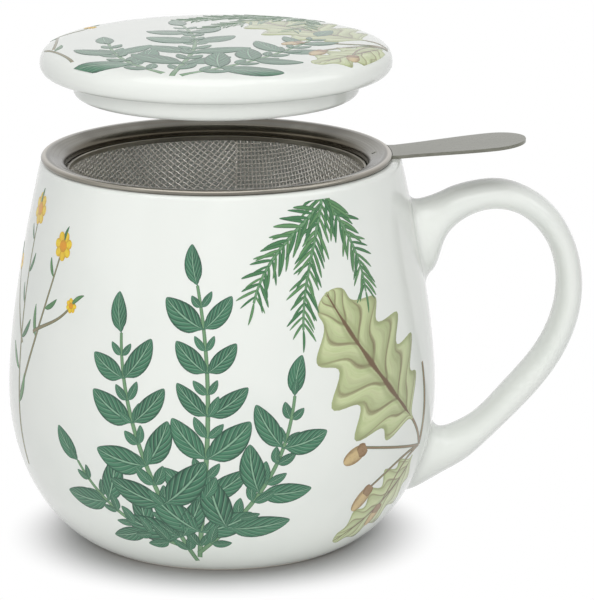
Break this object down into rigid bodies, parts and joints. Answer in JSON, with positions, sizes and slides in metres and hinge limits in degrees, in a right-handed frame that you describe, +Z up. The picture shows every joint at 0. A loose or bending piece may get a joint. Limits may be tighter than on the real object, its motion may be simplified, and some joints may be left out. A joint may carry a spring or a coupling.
{
  "type": "tea mug with infuser and lid",
  "caption": "Barrel-shaped porcelain mug with an ear handle, a lift-out steel mesh infuser with a tab, and a lift-off lid that sits on it.",
  "frame": {"origin": "centre of the foot ring, on the plane that the mug stands on", "axes": "+Z up along the axis of the mug, infuser and lid; +X towards the mug's handle and the infuser's tab; +Y completes a right-handed frame"},
  "size_m": [0.1374, 0.1018, 0.1208],
  "materials": {
    "glaze": "white porcelain under a clear gloss glaze",
    "rim_steel": "spun stainless steel with a satin sheen",
    "woven_cloth": "plain-woven stainless wire cloth",
    "tab_steel": "satin stainless strip"
  },
  "bodies": {
    "mug": {"mug_body": "glaze", "mug_handle": "glaze"},
    "infuser": {"infuser_rim": "rim_steel", "mesh_retaining_hoop": "rim_steel", "mesh_basket": "woven_cloth", "infuser_handle": "tab_steel", "infuser_spot_weld": "tab_steel"},
    "lid": {"lid": "glaze"}
  },
  "joints": [
    {"name": "infuser_lift", "type": "slide", "parent": "mug", "child": "infuser", "axis": [0, 0, 1], "range_m": [0, 0.06]},
    {"name": "lid_lift", "type": "slide", "parent": "infuser", "child": "lid", "axis": [0, 0, 1], "range_m": [-0.0191, 0.04]}
  ]
}
